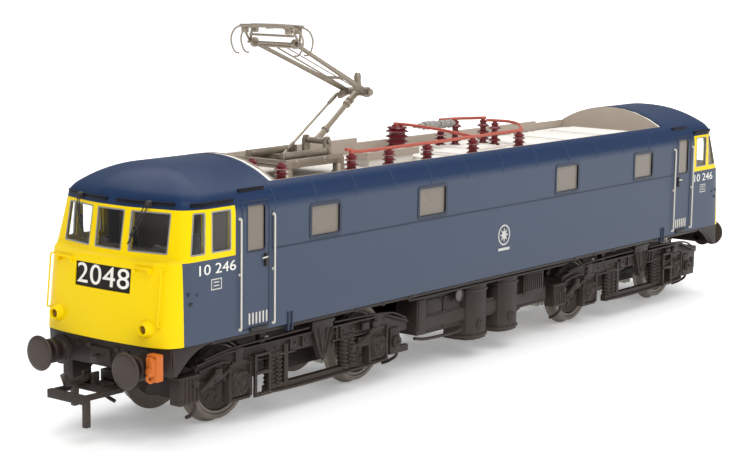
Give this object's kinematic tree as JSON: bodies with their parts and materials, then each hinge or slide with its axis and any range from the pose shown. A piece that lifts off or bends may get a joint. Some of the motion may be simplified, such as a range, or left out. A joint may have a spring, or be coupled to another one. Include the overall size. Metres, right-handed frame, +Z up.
{
  "type": "model electric locomotive",
  "caption": "Small-scale model electric locomotive with cabs at both ends, geared swivelling bogies, sprung buffers, hook couplings and a roof pantograph that raises.",
  "frame": {"origin": "on the rail plane, under the middle of the locomotive's bounding box", "axes": "+X along the locomotive towards cab B, away from the pantograph; +Y to its left facing +X; +Z up"},
  "size_m": [0.2316, 0.0348, 0.0756],
  "materials": {
    "blue_paint": "satin",
    "black_plastic": "matte",
    "roof_grey": "matte",
    "clear_glazing": "clear moulding",
    "cab_grey": "matte",
    "die_cast_zinc": "bare casting",
    "steel": "machined",
    "brass": "machined",
    "white_nylon": "moulded",
    "circuit_board": "satin",
    "orange_plastic": "satin",
    "insulator_red": "satin",
    "nickel_silver": "painted wire"
  },
  "bodies": {
    "locomotive": {"body_shell": "blue_paint", "busbar_breaker": "insulator_red", "busbar_line": "insulator_red", "busbar_main": "insulator_red", "cab_glazing_a": "clear_glazing", "cab_glazing_b": "clear_glazing", "cab_interior_a": "cab_grey", "cab_interior_b": "cab_grey", "chassis_block": "die_cast_zinc", "circuit_board": "circuit_board", "circuit_breaker": "insulator_red", "equipment_tanks": "black_plastic", "insulator_1": "insulator_red", "insulator_2": "insulator_red", "insulator_3": "insulator_red", "insulator_4": "insulator_red", "insulator_5": "insulator_red", "insulator_6": "insulator_red", "jumper_a": "orange_plastic", "jumper_b": "orange_plastic", "main_insulator": "insulator_red", "motor_can": "steel", "motor_cap_a": "white_nylon", "motor_cap_b": "white_nylon", "pantograph_base": "nickel_silver", "roof_panel": "roof_grey", "side_glazing_left": "clear_glazing", "side_glazing_right": "clear_glazing", "underframe": "black_plastic"},
    "rotor": {"motor_rotor": "brass"},
    "bogie_a": {"bogie_frame_a": "black_plastic", "gear_tower_a": "black_plastic", "coupling_a": "black_plastic"},
    "worm_a": {"worm_a": "brass"},
    "worm_wheel_a": {"worm_wheel_a": "white_nylon"},
    "idler_a1": {"idler_a1": "white_nylon"},
    "wheelset_a1": {"wheelset_a1": "steel"},
    "idler_a2": {"idler_a2": "white_nylon"},
    "wheelset_a2": {"wheelset_a2": "steel"},
    "hook_a": {"coupling_hook_a": "black_plastic"},
    "buffer_a_right": {"buffer_a_right": "black_plastic"},
    "buffer_a_left": {"buffer_a_left": "black_plastic"},
    "bogie_b": {"bogie_frame_b": "black_plastic", "gear_tower_b": "black_plastic", "coupling_b": "black_plastic"},
    "worm_b": {"worm_b": "brass"},
    "worm_wheel_b": {"worm_wheel_b": "white_nylon"},
    "idler_b1": {"idler_b1": "white_nylon"},
    "wheelset_b1": {"wheelset_b1": "steel"},
    "idler_b2": {"idler_b2": "white_nylon"},
    "wheelset_b2": {"wheelset_b2": "steel"},
    "hook_b": {"coupling_hook_b": "black_plastic"},
    "buffer_b_right": {"buffer_b_right": "black_plastic"},
    "buffer_b_left": {"buffer_b_left": "black_plastic"},
    "pantograph_lower_arm": {"pantograph_lower_arm": "nickel_silver"},
    "pantograph_upper_arm": {"pantograph_upper_arm": "nickel_silver"},
    "pantograph_control_rod": {"pantograph_control_rod": "nickel_silver"},
    "pantograph_head": {"pantograph_head": "nickel_silver"}
  },
  "joints": [
    {"name": "rotor_spin", "type": "hinge", "parent": "locomotive", "child": "rotor", "pos_m": [0, 0, 0.01973], "axis": [1, 0, 0], "continuous": true},
    {"name": "bogie_a_swivel", "type": "hinge", "parent": "locomotive", "child": "bogie_a", "pos_m": [-0.0635, 0, 0.0212], "axis": [0, 0, 1], "range_deg": [-6, 6]},
    {"name": "worm_a_spin", "type": "hinge", "parent": "bogie_a", "child": "worm_a", "pos_m": [-0.0635, 0, 0.01973], "axis": [1, 0, 0], "continuous": true},
    {"name": "worm_wheel_a_spin", "type": "hinge", "parent": "bogie_a", "child": "worm_wheel_a", "pos_m": [-0.0635, 0, 0.01183], "axis": [0, 1, 0], "continuous": true},
    {"name": "idler_a1_spin", "type": "hinge", "parent": "bogie_a", "child": "idler_a1", "pos_m": [-0.0742, 0, 0.01037], "axis": [0, 1, 0], "continuous": true},
    {"name": "wheelset_a1_spin", "type": "hinge", "parent": "bogie_a", "child": "wheelset_a1", "pos_m": [-0.0849, 0, 0.0089], "axis": [0, 1, 0], "continuous": true},
    {"name": "idler_a2_spin", "type": "hinge", "parent": "bogie_a", "child": "idler_a2", "pos_m": [-0.0528, 0, 0.01037], "axis": [0, 1, 0], "continuous": true},
    {"name": "wheelset_a2_spin", "type": "hinge", "parent": "bogie_a", "child": "wheelset_a2", "pos_m": [-0.0421, 0, 0.0089], "axis": [0, 1, 0], "continuous": true},
    {"name": "hook_a_lift", "type": "hinge", "parent": "bogie_a", "child": "hook_a", "pos_m": [-0.107, 0, 0.0113], "axis": [0, 1, 0], "range_deg": [0, 18]},
    {"name": "buffer_a_right_slide", "type": "slide", "parent": "locomotive", "child": "buffer_a_right", "axis": [1, 0, 0], "range_m": [0, 0.0012], "stiffness_N_per_m": 150},
    {"name": "buffer_a_left_slide", "type": "slide", "parent": "locomotive", "child": "buffer_a_left", "axis": [1, 0, 0], "range_m": [0, 0.0012], "stiffness_N_per_m": 150},
    {"name": "bogie_b_swivel", "type": "hinge", "parent": "locomotive", "child": "bogie_b", "pos_m": [0.0635, 0, 0.0212], "axis": [0, 0, 1], "range_deg": [-6, 6]},
    {"name": "worm_b_spin", "type": "hinge", "parent": "bogie_b", "child": "worm_b", "pos_m": [0.0635, 0, 0.01973], "axis": [1, 0, 0], "continuous": true},
    {"name": "worm_wheel_b_spin", "type": "hinge", "parent": "bogie_b", "child": "worm_wheel_b", "pos_m": [0.0635, 0, 0.01183], "axis": [0, 1, 0], "continuous": true},
    {"name": "idler_b1_spin", "type": "hinge", "parent": "bogie_b", "child": "idler_b1", "pos_m": [0.0528, 0, 0.01037], "axis": [0, 1, 0], "continuous": true},
    {"name": "wheelset_b1_spin", "type": "hinge", "parent": "bogie_b", "child": "wheelset_b1", "pos_m": [0.0421, 0, 0.0089], "axis": [0, 1, 0], "continuous": true},
    {"name": "idler_b2_spin", "type": "hinge", "parent": "bogie_b", "child": "idler_b2", "pos_m": [0.0742, 0, 0.01037], "axis": [0, 1, 0], "continuous": true},
    {"name": "wheelset_b2_spin", "type": "hinge", "parent": "bogie_b", "child": "wheelset_b2", "pos_m": [0.0849, 0, 0.0089], "axis": [0, 1, 0], "continuous": true},
    {"name": "hook_b_lift", "type": "hinge", "parent": "bogie_b", "child": "hook_b", "pos_m": [0.107, 0, 0.0113], "axis": [0, -1, 0], "range_deg": [0, 18]},
    {"name": "buffer_b_right_slide", "type": "slide", "parent": "locomotive", "child": "buffer_b_right", "axis": [-1, 0, 0], "range_m": [0, 0.0012], "stiffness_N_per_m": 150},
    {"name": "buffer_b_left_slide", "type": "slide", "parent": "locomotive", "child": "buffer_b_left", "axis": [-1, 0, 0], "range_m": [0, 0.0012], "stiffness_N_per_m": 150},
    {"name": "pantograph_raise", "type": "hinge", "parent": "locomotive", "child": "pantograph_lower_arm", "pos_m": [-0.0445, 0, 0.051], "axis": [0, 1, 0], "range_deg": [-18, 30]},
    {"name": "pantograph_knee", "type": "hinge", "parent": "pantograph_lower_arm", "child": "pantograph_upper_arm", "pos_m": [-0.031, 0, 0.0605], "axis": [0, 1, 0], "range_deg": [-50.6, 30.5]},
    {"name": "pantograph_head_level", "type": "hinge", "parent": "pantograph_upper_arm", "child": "pantograph_head", "pos_m": [-0.0579, 0, 0.0717], "axis": [0, 1, 0], "range_deg": [-12.4, 20.6]},
    {"name": "pantograph_control_rod_swing", "type": "hinge", "parent": "locomotive", "child": "pantograph_control_rod", "pos_m": [-0.0512, 0, 0.0482], "axis": [0, 1, 0], "range_deg": [-15.4, 25.7]}
  ],
  "couplings": [
    {"joint": "worm_a_spin", "follows": "rotor_spin", "ratio": 1},
    {"joint": "worm_wheel_a_spin", "follows": "rotor_spin", "ratio": -0.0625},
    {"joint": "idler_a1_spin", "follows": "rotor_spin", "ratio": 0.0625},
    {"joint": "wheelset_a1_spin", "follows": "rotor_spin", "ratio": -0.0625},
    {"joint": "idler_a2_spin", "follows": "rotor_spin", "ratio": 0.0625},
    {"joint": "wheelset_a2_spin", "follows": "rotor_spin", "ratio": -0.0625},
    {"joint": "worm_b_spin", "follows": "rotor_spin", "ratio": 1},
    {"joint": "worm_wheel_b_spin", "follows": "rotor_spin", "ratio": -0.0625},
    {"joint": "idler_b1_spin", "follows": "rotor_spin", "ratio": 0.0625},
    {"joint": "wheelset_b1_spin", "follows": "rotor_spin", "ratio": -0.0625},
    {"joint": "idler_b2_spin", "follows": "rotor_spin", "ratio": 0.0625},
    {"joint": "wheelset_b2_spin", "follows": "rotor_spin", "ratio": -0.0625},
    {"joint": "pantograph_knee", "follows": "pantograph_raise", "ratio": -1.683},
    {"joint": "pantograph_head_level", "follows": "pantograph_raise", "ratio": 0.683},
    {"joint": "pantograph_control_rod_swing", "follows": "pantograph_raise", "ratio": 0.852}
  ]
}
